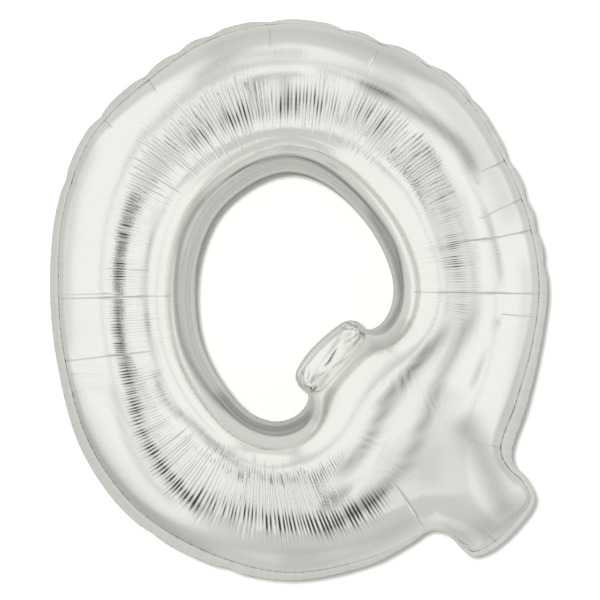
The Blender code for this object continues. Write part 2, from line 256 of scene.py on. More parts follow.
# Bands of painted shade and painted dark reflections on the front film, which also make it
# rougher: share, half width in mm, how far the puckers streak the band, line in px
FRONT_SHADE_BANDS = [
    (1.95, 6.5, 0.93, [(137, 186), (127, 222), (121, 255), (118, 290), (118, 320), (120, 345),
     (126, 376)]),
    (0.66, 3.5, 0.5, [(162, 200), (153, 225), (147, 255), (144, 285), (146, 315), (153, 345),
     (160, 372)]),
    (2.1, 8.5, 0.93, [(124, 352), (131, 390), (142, 430), (160, 463), (184, 493), (208, 517)]),
    (1.7, 16, 0.96, [(190, 484), (222, 508), (272, 520), (325, 522), (364, 510), (390, 488)]),
    (0.5, 6, 0.4, [(316, 533), (345, 519), (372, 502), (394, 484)]),
    (0.22, 6, 0, [(434, 338), (415, 365), (396, 388), (376, 414)]),
    (0.14, 30, 0, [(446, 380), (436, 430), (420, 490)]),
    (0.75, 11, 0.97, [(398, 128), (428, 172), (446, 212), (454, 255), (462, 300), (460, 336)]),
    (0.2, 7, 0, [(108, 375), (114, 395), (128, 442), (152, 482), (184, 508)]),
    (0.62, 6.5, 0.6, [(155, 360), (162, 395), (176, 411), (196, 427), (212, 444), (232, 461),
     (254, 472)]),
    (0.6, 6, 0.9, [(240, 466), (272, 478), (312, 480)]),
    (0.3, 15, 0.1, [(66, 360), (80, 420), (102, 462), (142, 510), (186, 544), (226, 560)]),
    (0.12, 26, 0, [(70, 396), (96, 450), (136, 500), (200, 542), (270, 560), (350, 556)]),
    (0.95, 20, 0.95, [(172, 160), (208, 130), (250, 112), (290, 104), (332, 104), (372, 118),
     (400, 144)]),
    (0.22, 8, 0.2, [(188, 85), (212, 68), (240, 56), (272, 53), (312, 54)]),
    (0.42, 10, 0.4, [(283, 72), (285, 90), (288, 112)]),
    (0.34, 5, 0.4, [(312, 70), (340, 76), (372, 87), (398, 102)]),
    (0.5, 10.5, 0, [(352, 81), (362, 85), (390, 97), (410, 109), (433, 123), (457, 143),
     (470, 163), (478, 184)]),
    (0.34, 1.7, 0.3, [(474, 172), (484, 205), (494, 240), (500, 270), (503, 296), (500, 316)]),
    (0.24, 1.6, 0.1, [(501, 312), (492, 338), (478, 372), (462, 412)]),
    (0.26, 4.5, 0.75, [(402, 138), (426, 188), (439, 240), (446, 290), (443, 330)]),
    (0.3, 4.5, 0.7, [(430, 150), (452, 190), (462, 230), (474, 280), (474, 322)]),
    (0.5, 9, 0, [(452, 318), (436, 342), (410, 374), (388, 404), (362, 450), (330, 482)]),
    (0.2, 11, 0, [(366, 346), (384, 344), (398, 334), (410, 318)]),
    (0.2, 10, 0, [(312, 424), (322, 412), (328, 398), (334, 386)]),
    (0.37, 10, 0, [(482, 298), (460, 340), (440, 380), (426, 416), (408, 459), (386, 484),
     (330, 522)]),
    (0.22, 20, 0, [(436, 530), (466, 534), (496, 526), (518, 510), (532, 486)]),
    (0.24, 11, 0.1, [(100, 134), (76, 190), (67, 250), (66, 300), (70, 366)]),
    (0.17, 22, 0, [(340, 38), (396, 62), (436, 92), (472, 136), (500, 190), (516, 240)]),
    (0.14, 15, 0, [(196, 58), (236, 43), (280, 36), (326, 40), (366, 50)]),
    (0.14, 9, 0, [(520, 250), (526, 290), (520, 350), (506, 410), (494, 440)]),
    (0.16, 15, 0, [(270, 560), (316, 559), (360, 548), (400, 528), (424, 516)]),
    (0.38, 25, 0, [(458, 412), (474, 440), (487, 466), (496, 488), (508, 522)]),
    (0.8, 2.4, 0, [(401, 300), (402, 274), (392, 240), (365, 202), (327, 169), (288, 156),
     (245, 168), (208, 196)]),
    (0.5, 5, 0, [(226, 180), (204, 200), (190, 220), (180, 247), (176, 300), (186, 352),
     (215, 398), (246, 422)]),
    (0.25, 1.3, 0, [(345, 176), (318, 157), (288, 149), (252, 154)]),
]

# Bands of painted shade on the back, which the picture does not show
BACK_SHADE_BANDS = [
    (0.55, 9, 0.85, [(150, 190), (128, 250), (126, 320), (144, 390), (186, 446)]),
    (0.45, 12, 0.85, [(200, 130), (260, 104), (330, 104), (396, 146)]),
    (0.5, 10, 0.85, [(240, 500), (300, 514), (356, 500)]),
    (0.3, 10, 0.4, [(452, 200), (462, 270), (446, 330), (404, 400)]),
]

# Bands of the same painted shade on the hole's weld
HOLE_WELD_SHADE_BANDS = [
    (0.4, 1.8, 0, [(355, 210), (320, 182), (288, 173), (255, 183), (220, 212), (201, 252),
     (196, 300)]),
    (0.32, 8, 0, [(214, 386), (222, 396), (247, 421), (277, 429), (304, 420), (316, 404)]),
    (0.3, 4.5, 0, [(376, 334), (388, 326), (399, 308), (401, 287), (391, 250), (363, 205)]),
]

# Broad hollows and, where negative, ridges on the front: depth_mm, width_mm, line in px
FRONT_HOLLOWS = [
    (2, 24, [(392, 112), (428, 165), (447, 215), (459, 270), (458, 320)]),
    (0.5, 15, [(447, 330), (404, 380), (381, 409), (354, 455), (333, 473)]),
    (0.5, 15, [(474, 306), (453, 340), (427, 396), (420, 420), (402, 460)]),
    (-1.8, 30, [(418, 372), (396, 420), (366, 470), (330, 500)]),
    (0.5, 6, [(473, 184), (484, 226), (498, 268), (504, 310), (497, 330)]),
]

# Broad hollows on the back, which the picture does not show
BACK_HOLLOWS = [
    (1.8, 20, [(130, 200), (118, 290), (130, 380)]),
    (1.6, 14, [(440, 330), (410, 400), (380, 470)]),
]

# How many half widths away a band of painted shade and a hollow are still worked out
SHADE_BAND_REACH = 2.6
HOLLOW_REACH = 3.5

# Soft rolls of the film beside the hole's weld: distance_mm, width_mm, height_mm
HOLE_ROLLS = [
    (2.2, 1.6, 0.5), (7, 2.6, -0.55),
]

# Pinched ends of the tongue: x_px, y_px, puckers in a full turn, turn, reach_px
TONGUE_GATHERS = [
    (364, 329, 19, 0.4, 40), (307.5, 394, 21, 1.1, 42),
]
TONGUE_PUCKER_MM = 1.8

# Section of each weld from its free edge to the film: share of its width, extra_px, how
# far its faces are raised in mm, and how much shade is painted on it
OUTER_SECTION = [
    (0.0, 0.0, 0.0, 0.50), (0.07, 0.0, 0.12, 0.12), (0.16, 0.0, 0.0, 0.05),
    (0.5, 0.0, 0.06, 0.05), (0.78, 0.0, 0.0, 0.05), (0.87, 0.0, 0.40, 0.0),
    (0.95, 0.0, 0.05, 0.9), (1.0, 1.5, 0.0, 0.5),
]
HOLE_SECTION = [
    (0.0, 0.0, 0.0, 0.50), (0.06, 0.0, 0.06, 0.18), (0.26, 0.0, 0.0, 0.10),
    (0.32, 0.0, 0.14, 0.02), (0.40, 0.0, 0.0, 0.16), (0.46, 0.0, 0.0, 0.20),
    (0.52, 0.0, 0.0, 0.16), (0.60, 0.0, 0.05, 0.12), (0.72, 0.0, 0.0, 0.18),
    (0.88, 0.0, 0.04, 0.20), (0.94, 0.0, 0.34, 0.05), (1.0, 0.4, 0.0, 0.3),
    (1.0, 2.0, 0.0, 0.1),
]
WELD_HALF_THICKNESS = 0.00018

# Lengths in mm of a weld's long and short ripples, and of the dots of its painted shade and their
# runs
RIPPLE_MM = (17.0, 6.0)
DOTS_MM = (3.5, 60.0)

# Fill tab: its middle line from the seam as y and z, and the place of its punched hole
TAB_PATH = [
    (0.0017, -0.0018), (0.0017, -0.006), (0.0028, -0.0086), (0.0055, -0.0102), (0.012, -0.0098),
    (0.024, -0.0072), (0.036, -0.003), (0.048, 0.0032), (0.06, 0.0112),
]
TAB_HOLE_Y = 0.0360
TAB_HOLE_RADIUS = 0.0060

# The tab's rounded end, from this share of its length on, its two side welds, the bend at
# the seam, the thickness of its plies, how far they stand apart between the welds, and the
# height, cell size and seed of its ripples
TAB_CORNER = 0.005
TAB_ROUNDED = 0.93
TAB_WELD_MM = 4.0
TAB_BEND_Y = 0.0022
TAB_HALF_THICKNESS = 0.00016
TAB_PUFF = 0.00035
TAB_RIPPLE = 0.0005
TAB_RIPPLE_CELL = 0.012
TAB_RIPPLE_SEED = 91

# Radiance of the white room in front of the balloon and behind it, the most that any part
# of it has, and how much lower than wide its lights stand
ROOM_FRONT = 0.66
ROOM_REAR = 0.70
ROOM_MOST = 0.97
ROOM_SQUASH = 0.75

# Soft round lights of the room: name, then in degrees the bearing, height, ring radius,
# half width and feather, and the radiance added
ROOM_LIGHTS = [
    ("left_light", -76, -2, 0, 52, 8, 0.36),
    ("right_light", 72, 10, 0, 46, 8, 0.36),
    ("umbrella", 3, -1, 0, 28, 2, 0.4),
    ("skylight", 0, 57, 0, 21, 6, 0.26),
    ("ceiling", 0, 85, 0, 30, 15, 0.1),
    ("floor_glow", 180, -80, 0, 22, 8, 0.12),
]

# Darker things in the room, in the same terms, with the share of light that they take
ROOM_SHADES = [
    ("umbrella_rim", 3, -1, 28, 2.2, 1.2, 0.16),
    ("doorway_low", -4, -11, 0, 4, 1.5, 0.62),
    ("doorway_sill", -4, -5, 0, 4, 1.5, 0.82),
    ("doorway", -4, 2, 0, 4, 1.5, 0.82),
    ("doorway_head", -4, 9, 0, 4, 1.5, 0.82),
    ("doorway_top", -4, 16, 0, 4, 1.5, 0.62),
]

# Reflector cards close in front: name, radiance, depth, corners in px
CARDS = [
    ("card_right_arm", 0.84, -0.33, [(395, 160), (517, 160), (517, 348), (395, 348)]),
    ("card_top", 0.93, -0.36, [(238, 16), (360, 16), (360, 140), (238, 140)]),
    ("card_nub", 0.8, -0.36, [(358, 430), (590, 430), (590, 625), (358, 625)]),
    ("card_lower_left", 0.95, -0.36, [(88, 375), (152, 335), (262, 508), (198, 548)]),
    ("card_tail", 0.93, -0.36, [(406, 268), (492, 296), (360, 548), (274, 520)]),
]
CARD_FEATHER = 0.22

# Lamps for the wall: name, place, aim, width, share of white on the wall
WALL_LIGHTS = [
    ("wall_key_lamp", (-0.14, -4.2, 0.12), (0, 0.19, 0), 0.17, 1.2),
]

# Studio: depth of the wall, height of the floor, its front and left edges, how far wall
# and floor reach
WALL_DEPTH = 0.19
FLOOR_HEIGHT = -1.6
FLOOR_FRONT = -1.5
FLOOR_LEFT = -0.95
STUDIO_REACH = 3.0

# Roughness and strength of the grain: bare film, film pressed by the sealing bars, tab
FILM_FINISH = (0.13, 0.24)
WELD_FINISH = (0.38, 0.20)
TAB_FINISH = (0.28, 0.20)

# Sizes of the film's patterns, set and not measured: 420 specks and 9 changes of gloss
# a metre. The lacquer's real grain is too fine to show, so its specks, of about 2.4 mm, are
# drawn coarser than real.
SPECK_MM = 1000 / 420
CLOUD_MM = 1000 / 9
GRAIN_HEIGHT = 0.0004
# Roughness added to the film where shade is painted on it
PAINTED_SHADE_ROUGHNESS = 0.30

# Colour sockets of a Mix node that mixes colours: inputs A and B, and the result
MIX_A, MIX_B, MIX_RESULT = 6, 7, 2

STUDIO_WHITE = "#FDFDFA"


def srgb_hex(code):
    """Linear colour, with alpha, from an sRGB hex value."""
    channels = [int(code[k:k + 2], 16) / 255 for k in (1, 3, 5)]
    linear = [c / 12.92 if c <= 0.04045 else ((c + 0.055) / 1.055) ** 2.4 for c in channels]
    return (*linear, 1.0)


def eased(part):
    """Values from 0 to 1 with a smooth start and end."""
    return part * part * (3 - 2 * part)


def ramp(value, low, high):
    """Smooth step from 0 at low to 1 at high."""
    return eased(np.clip((value - low) / (high - low), 0.0, 1.0))


def bell(away, wide):
    """Bell curve, 1 in the middle."""
    return np.exp(-(away / wide) ** 2)


def smooth_noise(at, seed, count=4096):
    """Smooth noise from -1 to 1 along a line, one new value a unit."""
    table = np.random.default_rng(seed).uniform(-1.0, 1.0, count)
    whole = np.floor(at).astype(int)
    part = eased(at - whole)
    return table[whole % count] * (1 - part) + table[(whole + 1) % count] * part


def plane_noise(x, y, seed, side=256):
    """Smooth noise from -1 to 1 over a plane, one new value a unit square."""
    table = np.random.default_rng(seed).uniform(-1.0, 1.0, (side, side))
    left = np.floor(x).astype(int)
    low = np.floor(y).astype(int)
    px, py = eased(x - left), eased(y - low)
    a, b, c, d = (table[(left + i) % side, (low + j) % side] for j in (0, 1) for i in (0, 1))
    return (a * (1 - px) + b * px) * (1 - py) + (c * (1 - px) + d * px) * py


def smooth_loop(rows):
    """Closed centripetal Catmull-Rom curve through the rows of a table."""
    points = np.array(rows, float)
    p = [np.roll(points, -k, axis=0)[:, None, :] for k in (-1, 0, 1, 2)]
    knot = [np.zeros((len(points), 1, 1))]
    for a, b in zip(p, p[1:]):
        gap = np.linalg.norm((b - a)[:, :, :2], axis=2, keepdims=True) ** 0.5
        knot.append(knot[-1] + gap)
    shares = np.linspace(0, 1, EDGE_STEPS, endpoint=False)[None, :, None]
    t = knot[1] + (knot[2] - knot[1]) * shares

    def mix(first, second, low, high):
        share = (t - knot[low]) / (knot[high] - knot[low])
        return first * (1 - share) + second * share

    one = [mix(p[k], p[k + 1], k, k + 1) for k in range(3)]
    two = [mix(one[k], one[k + 1], k, k + 2) for k in range(2)]
    return mix(two[0], two[1], 1, 2).reshape(-1, points.shape[1])


def finer(values, count, axis):
    """Catmull-Rom values at count even steps along one axis."""
    values = np.moveaxis(values, axis, 0)
    last = len(values) - 1
    at = np.linspace(0, last, count + 1)
    whole = np.minimum(np.floor(at).astype(int), last - 1)
    t = (at - whole).reshape((-1,) + (1,) * (values.ndim - 1))
    before = 3 * values[0] - 3 * values[1] + values[2]
    after = 3 * values[-1] - 3 * values[-2] + values[-3]
    longer = np.concatenate([before[None], values, after[None]])
    p = [longer[whole + 1 + k] for k in (-1, 0, 1, 2)]
    out = 0.5 * (2 * p[1] + (p[2] - p[0]) * t
                 + (2 * p[0] - 5 * p[1] + 4 * p[2] - p[3]) * t ** 2
                 + (3 * p[1] - p[0] - 3 * p[2] + p[3]) * t ** 3)
    return np.moveaxis(out, 0, axis)


def to_plane(points_px):
    """Picture points as X and Z in metres."""
    x = (points_px[..., 0] - CENTRE_PX[0]) * METRES_PER_PX
    z = (CENTRE_PX[1] - points_px[..., 1]) * METRES_PER_PX
    return np.stack([x, z], axis=-1)


def in_space(plane, y):
    """Points at X and Z that stand at these Y."""
    return np.stack([plane[..., 0], y, plane[..., 1]], axis=-1)


def to_picture(plane, height=0.0):
    """Where the camera sees points at X and Z that stand this high before the seam, in px."""
    seen = plane * (CAMERA_DISTANCE / (CAMERA_DISTANCE - np.asarray(height)))[..., None]
    x = seen[..., 0] / METRES_PER_PX + CENTRE_PX[0]
    y = CENTRE_PX[1] - seen[..., 1] / METRES_PER_PX
    return np.stack([x, y], axis=-1)


def notch_depth(points):
    """How far the puckers pull each edge point in, in picture units."""
    depth = np.zeros(len(points))
    for x, y, deep, reach in EDGE_NOTCHES:
        away = np.hypot(points[:, 0] - x, points[:, 1] - y)
        depth = np.maximum(depth, deep * np.clip(1 - away / reach, 0, 1) ** 1.5)
    return depth


def seam_lines(seam, insets, notched):
    """Lines at given insets into the film from a seam's edge, in picture units.

    Each inset is a share of the seam's width and an extra width in px.
    """
    rows, _, into_film, _, _ = seam
    curve = smooth_loop(rows)
    edge = curve[:, :2]
    run = np.roll(edge, -1, axis=0) - np.roll(edge, 1, axis=0)
    run /= np.linalg.norm(run, axis=1)[:, None]
    normal = np.stack([-run[:, 1], run[:, 0]], axis=1) * into_film
    cut = notch_depth(edge)[:, None] if notched else np.zeros((len(edge), 1))
    return [edge + normal * (curve[:, 2:3] * share + extra + cut * max(0.0, 1 - share))
            for share, extra in insets]


def spaced(line, guide, count):
    """Points of a line at even steps along its guide, both ends included."""
    steps = np.linalg.norm(np.diff(guide, axis=0), axis=1)
    reach = np.concatenate([[0.0], np.cumsum(steps)])
    wanted = np.linspace(0.0, reach[-1], count + 1)
    return np.stack([np.interp(wanted, reach, line[:, k]) for k in (0, 1)], axis=1)


def ring_and_tail(lines, guide, corner, ring_count, tail_count):
    """Each line's points round the ring and along the tail."""
    cut = corner * EDGE_STEPS
    guide = np.vstack([guide, guide[:1]])
    out = []
    for line in lines:
        line = np.vstack([line, line[:1]])
        ring = spaced(line[:cut + 1], guide[:cut + 1], ring_count)
        tail = spaced(line[cut:], guide[cut:], tail_count)
        out.append((ring, tail))
    return out


def cosine_steps(count):
    """Shares from 0 to 1 that crowd towards both ends."""
    return (1 - np.cos(np.linspace(0.0, math.pi, count + 1))) / 2


def flat_grids(ring_count, tail_count, across, tongue_across):
    """Flat outline of one sheet: the main grid, the tongue's and the valley's heights."""
    sides = []
    for seam in (OUTER_SEAM, HOLE_SEAM):
        line = seam_lines(seam, [(1.0, 0.0)], False)
        parts = ring_and_tail(line, line[0], seam[1], ring_count, tail_count)[0]
        sides.append([to_plane(part) for part in parts])
    outer, hole = sides
    share = np.linspace(0.0, 1.0, tail_count + 1)
    valley = hole[1][0] + (hole[1][-1] - hole[1][0]) * share[:, None]
    swell = np.sin(math.pi * share)
    swell[-1] = 0.0
    inner = np.vstack([hole[0][:-1], valley[:-1]])
    rim = np.vstack([outer[0][:-1], outer[1][:-1]])
    main = inner[None] + (rim - inner)[None] * cosine_steps(across)[:, None, None]
    tongue = (valley[None]
              + (hole[1] - valley)[None] * cosine_steps(tongue_across)[:, None, None])
    return main, tongue, VALLEY_HEIGHT * swell ** VALLEY_FULLNESS


def soap_film(points, triangles, pinned, heights):
    """Sag of an even-loaded film over a flat outline, half the square of a round depth."""
    count = len(points)
    stiffness = np.zeros((count, count))
    load = np.zeros(count)
    for k in range(3):
        a, b, c = (triangles[:, (k + j) % 3] for j in range(3))
        first = points[a] - points[c]
        second = points[b] - points[c]
        twice = np.abs(first[:, 0] * second[:, 1] - first[:, 1] * second[:, 0])
        weight = 0.5 * (first * second).sum(axis=1) / twice
        np.add.at(stiffness, (a, b), -weight)
        np.add.at(stiffness, (b, a), -weight)
        np.add.at(stiffness, (a, a), weight)
        np.add.at(stiffness, (b, b), weight)
        np.add.at(load, c, twice / 6)
    stiffness[pinned] = 0.0
    stiffness[pinned, pinned] = 1.0
    load[pinned] = heights ** 2 / 2
    return np.maximum(np.linalg.solve(stiffness, load), 0.0)


def grid_cells(index):
    """Four corners of each cell of an index grid."""
    corners = [index[:-1, :-1], index[:-1, 1:], index[1:, 1:], index[1:, :-1]]
    return np.stack(corners, axis=-1).reshape(-1, 4)


def grid_triangles(index):
    """Two triangles for each cell of an index grid."""
    cells = grid_cells(index)
    halves = np.vstack([cells[:, [0, 1, 2]], cells[:, [0, 2, 3]]])
    a, b, c = halves.T
    return halves[(a != b) & (b != c) & (a != c)]


def cell_quads(index):
    """Quads of an index grid, without the cells that end in a point."""
    cells = grid_cells(index)
    a, b, c, d = cells.T
    return cells[(a != d) & (b != c)]


def wrapped(grid):
    """A grid with its first column again at the end."""
    return np.hstack([grid, grid[:, :1]])


def sheet_index(shape, ring, tongue_rows, tail):
    """Point numbers of the main grid and of the tongue's, which share the valley."""
    count = shape[0] * shape[1]
    main = np.arange(count).reshape(shape)
    tongue = np.zeros((tongue_rows + 1, tail + 1), int)
    tongue[0] = np.append(main[0, ring:], main[0, 0])
    tongue[:, 0] = main[0, ring]
    tongue[:, -1] = main[0, 0]
    tongue[1:, 1:-1] = count + np.arange(tongue_rows * (tail - 1)).reshape(tongue_rows, -1)
    return main, tongue


def coarse_sag():
    """Sag on the coarse grids of the ring with its tail and of the tongue."""
    main, tongue, valley = flat_grids(RING_CELLS, TAIL_CELLS, ACROSS_CELLS, TONGUE_CELLS)
    main_index, tongue_index = sheet_index(main.shape[:2], RING_CELLS, TONGUE_CELLS, TAIL_CELLS)
    points = np.vstack([main.reshape(-1, 2), tongue[1:, 1:-1].reshape(-1, 2)])
    triangles = np.vstack([grid_triangles(wrapped(main_index)), grid_triangles(tongue_index)])
    height = dict.fromkeys([*main_index[-1], *main_index[0, :RING_CELLS], *tongue_index[-1]], 0.0)
    height.update(zip(tongue_index[0], valley))
    pinned = np.array(list(height))
    sag = soap_film(points, triangles, pinned, np.array(list(height.values())))
    return sag[main_index], sag[tongue_index]


def film_depth(sag):
    """Depth that the film allows for a sag."""
    round_height = ROUNDNESS * np.sqrt(2 * np.maximum(sag, 0.0)) + 1e-9
    blend = round_height ** -DEPTH_BLEND + DEPTH_LIMIT ** -DEPTH_BLEND
    return blend ** (-1 / DEPTH_BLEND) + SHEET_STAND * ramp(round_height, 0.0, 0.02)


def ring_normals(points):
    """Unit normals of a grid of points whose columns close into a ring."""
    wide = np.concatenate([points[:, -1:], points, points[:, :1]], axis=1)
    normal = np.cross((wide[:, 2:] - wide[:, :-2]) / 2, np.gradient(points, axis=0))
    return normal / (np.linalg.norm(normal, axis=2, keepdims=True) + 1e-12)


def lean(place):
    """Shift along the ring, in whole rings, for a full run across the strip."""
    places, run = np.array(PUCKER_LEAN).T
    return np.interp(place, places, run) * STRIP_WIDTH / RING_LENGTH


def sheared(rows, shift):
    """Each row of a grid read a little further along, by its own shift in columns."""
    count = rows.shape[1]
    at = np.arange(count) + shift
    whole = np.clip(np.floor(at).astype(int), 0, count - 2)
    part = at - whole
    picked = np.arange(rows.shape[0])[:, None]
    if rows.ndim == 3:
        part = part[..., None]
    return rows[picked, whole] * (1 - part) + rows[picked, whole + 1] * part


def pucker_centres(columns, share, dice):
    """Columns of the grid that puckers lie in, unevenly spaced."""
    places, usual = np.array(PUCKER_SPACING).T
    centres = [0]
    while centres[-1] < columns:
        gap = share * np.interp(centres[-1] / columns, places, usual)
        gap = gap * dice.uniform(*SPACING_SPREAD)
        centres.append(centres[-1] + max(int(round(gap)), 3))
    return np.array(centres[1:-1])


def pucker_layer(layer, columns, across):
    """One layer of puckers, each in a column of the grid.

    Gives their depth in metres, the shade painted in their valleys, and the stroke of each column.
    """
    seed, share, table = layer
    dice = np.random.default_rng(seed)
    centres = pucker_centres(columns, share, dice)
    count = len(centres)
    at = np.interp(np.arange(columns), centres, np.arange(count))
    number = np.floor(at + 0.5).astype(int)
    profile = (0.5 + 0.5 * np.cos(2 * math.pi * (at - number))) ** 1.3
    place = centres / columns
    places, *reaches = np.array(table).T
    near, far, depth = (np.interp(place, places, reach) for reach in reaches)
    clusters = 0.75 + 0.5 * smooth_noise(place * CLUSTERS, seed + 1)
    vigour = clusters * dice.uniform(*VIGOUR_SPREAD, count)
    depth = depth * vigour
    span = far - near
    start = near + span * dice.uniform(*START_SPREAD, count)
    stop = far - span * dice.uniform(*STOP_SPREAD, count)
    start, stop, depth = start[number], stop[number], depth[number]
    fade_in = ramp(across, start - 0.02, start + 0.10)
    fade_out = 1 - ramp(across, stop - 0.05, stop + 0.02)
    shown = fade_in * fade_out
    # Strokes that break the painted shade bands into dashes
    stroke = profile ** 1.4 * (0.3 + vigour[number])
    return -profile * depth * MM * shown, profile ** 2 * depth * shown, stroke


def beside_line(line, plane_px, reach_mm):
    """Grid points near a line in the picture: which, how far in mm, how far along (0 to 1)."""
    line = np.array(line, float)
    if len(line) > 2:
        line = finer(line, LINE_STEPS * (len(line) - 1), 0)
    reach = reach_mm * MM / METRES_PER_PX
    low, high = line.min(axis=0) - reach, line.max(axis=0) + reach
    near = np.all((plane_px > low) & (plane_px < high), axis=2)
    spots = plane_px[near]
    best = np.full(len(spots), 1e9)
    along = np.zeros(len(spots))
    lengths = np.linalg.norm(np.diff(line, axis=0), axis=1)
    done = 0.0
    for a, b, length in zip(line, line[1:], lengths):
        t = np.clip(((spots - a) @ (b - a)) / length ** 2, 0, 1)
        away = np.linalg.norm(spots - a - t[:, None] * (b - a), axis=1)
        closer = away < best
        best = np.where(closer, away, best)
        along = np.where(closer, (done + t * length) / lengths.sum(), along)
        done += length
    return near, best * METRES_PER_PX / MM, along


def folds(table, plane_px):
    """Depth in metres of single folds, and the shade painted along them."""
    total = np.zeros(plane_px.shape[:2])
    painted_shade = np.zeros(plane_px.shape[:2])
    for deep, wide, line in table:
        near, away, along = beside_line(line, plane_px, 4 * SHOULDER_WIDTH * wide)
        fade = ramp(along, -0.05, 0.10) * (1 - 0.6 * ramp(along, 0.7, 1.0))
        shape = -bell(away, wide) - SHOULDER_DEPTH * bell(away, SHOULDER_WIDTH * wide)
        total[near] += deep * MM * shape * fade
        # Shade painted along the fold's line
        valley_shade = min(0.7 * deep, 0.5)
        painted_shade[near] = np.maximum(painted_shade[near], valley_shade * bell(away, 0.7 * wide) * fade)
    return total, painted_shade


def shade_bands(table, plane_px, streaks):
    """How much shade is painted along broad bands, some streaked by the puckers."""
    shaded = np.zeros(plane_px.shape[:2])
    for share, wide, streaked, line in table:
        near, away, along = beside_line(line, plane_px, SHADE_BAND_REACH * wide)
        ends = ramp(along, -0.02, 0.14) * (1 - ramp(along, 0.86, 1.02))
        band = share * bell(away, wide) * ends
        shaded[near] += band * (1 - streaked + streaked * streaks[near])
    return shaded


def hollows(table, plane_px):
    """Depth in metres of broad hollows and ridges."""
    total = np.zeros(plane_px.shape[:2])
    for deep, wide, line in table:
        near, away, along = beside_line(line, plane_px, HOLLOW_REACH * wide)
        ends = 0.25 + 0.75 * ramp(along, 0.0, 0.2) * (1 - ramp(along, 0.8, 1.0))
        total[near] -= deep * MM * bell(away, wide) * ends
    return total


def hole_rolls(away_mm):
    """Height in metres of the soft rolls that follow the hole's weld."""
    total = np.zeros(away_mm.shape)
    for where, wide, high in HOLE_ROLLS:
        total += high * MM * bell(away_mm - where, wide)
    return total


def edge_pulls(plane_px, across):
    """Depth in metres of the soft gathers behind each notch of the outer edge."""
    total = np.zeros(plane_px.shape[:2])
    for x, y, deep, _ in EDGE_NOTCHES:
        away = np.linalg.norm(plane_px - np.array([x, y]), axis=2) * METRES_PER_PX / MM
        total -= GATHER_SHARE * deep * MM * bell(away, GATHER_MM)
    return total * ramp(across, 0.70, 0.85)


def gathers(plane_px):
    """Depth in metres of the puckers that fan from the tongue's ends, and the shade painted along
    them.
    """
    total = np.zeros(plane_px.shape[:2])
    painted_shade = np.zeros(plane_px.shape[:2])
    for x, y, count, turn, reach in TONGUE_GATHERS:
        away = plane_px - np.array([x, y])
        radius = np.linalg.norm(away, axis=2)
        angle = np.arctan2(away[..., 1], away[..., 0])
        at = angle * count / (2 * math.pi) + turn + 0.15 * np.sin(radius / 6.0)
        vigour = 0.55 + 0.45 * smooth_noise(np.floor(at + 0.5) * 1.7 + 40.0, count)
        fan = (0.5 + 0.5 * np.cos(2 * math.pi * at)) ** 3 * vigour
        stop = reach * (0.6 + 0.4 * vigour)
        fade = ramp(radius, 1.0, 6.0) * (1 - ramp(radius, 0.45 * reach, stop))
        total -= TONGUE_PUCKER_MM * MM * fan * fade * np.minimum(radius / 9.0, 1.0)
        valley_shade = 0.8 * fan * fade * (1 - ramp(radius, 0.3 * reach, 0.8 * reach))
        painted_shade = np.maximum(painted_shade, valley_shade)
    return total, painted_shade


def inflated_grids(ring):
    """Fine grids of one sheet: the main one's and the tongue's X and Z, and their depths."""
    main, tongue, _ = flat_grids(ring, TAIL_COLUMNS, FILM_ROWS, TONGUE_ROWS)
    main_sag, tongue_sag = coarse_sag()
    main_sag = finer(main_sag, FILM_ROWS, 0)
    ring_part = finer(main_sag[:, :RING_CELLS + 1], ring, 1)
    tail_part = finer(np.hstack([main_sag[:, RING_CELLS:], main_sag[:, :1]]), TAIL_COLUMNS, 1)
    tongue_sag = finer(finer(tongue_sag, TONGUE_ROWS, 0), TAIL_COLUMNS, 1)

    # The ring's columns lean as its puckers do
    across = cosine_steps(FILM_ROWS)[:, None]
    shift = lean(np.arange(ring + 1) / ring) * ring * (across - 0.5)
    ring_part = sheared(ring_part, shift)
    ring_plane = sheared(main[:, :ring + 1], shift)
    main = np.concatenate([ring_plane[:, :-1], main[:, ring:]], axis=1)
    depth = film_depth(np.hstack([ring_part[:, :-1], tail_part[:, :-1]]))
    return main, depth, tongue, film_depth(tongue_sag), across


def film_relief(plane, plane_px, across, tables, sizes):
    """Height of all that stands off a sheet's inflated form, and the shade painted on the film."""
    layers, fold_table, hollow_table, shade_table = tables
    ring = sizes.ring_columns
    lift, painted_shade = folds(fold_table, plane_px)
    drawn = [pucker_layer(layer, ring, across) for layer in layers]
    broken = plane_noise(np.arange(ring)[None, :] / BREAK_COLUMNS,
                         np.arange(FILM_ROWS + 1)[:, None] / BREAK_ROWS, BREAK_SEED)
    # Painted shade: along the folds, in each pucker's valley and in broad bands, which the first
    # layer's strokes break up
    streaks = np.full(lift.shape, 0.5)
    streaks[:, :ring] = drawn[0][2] * np.clip(0.8 + 0.8 * broken, 0.05, 1.7)
    for drop, valley_shade, _ in drawn:
        lift[:, :ring] += drop * sizes.pucker_depth
        painted_shade[:, :ring] = np.maximum(painted_shade[:, :ring], 0.5 * valley_shade)
    painted_shade = np.maximum(painted_shade, shade_bands(shade_table, plane_px, streaks))
    lift += hollows(hollow_table, plane_px)
    along = np.arange(plane.shape[1]) / ring
    beside_ring = ramp(along, 0.02, 0.10) * (1 - ramp(along, 0.88, 0.96))
    lift += hole_rolls(np.linalg.norm(plane - plane[0], axis=2) / MM) * beside_ring
    lift += edge_pulls(plane_px, across)
    soft = ramp(across, 0.0, 0.25) * (1 - ramp(across, 0.75, 1.0))
    x, y = np.moveaxis(plane_px / SWELL_PX, 2, 0)
    lift += SWELL * soft * plane_noise(x, y, layers[0][0])
    return lift, painted_shade


def placed(name, data):
    """Object in the scene that holds a mesh, a lamp or a camera."""
    made = bpy.data.objects.new(name, data)
    bpy.context.scene.collection.objects.link(made)
    return made


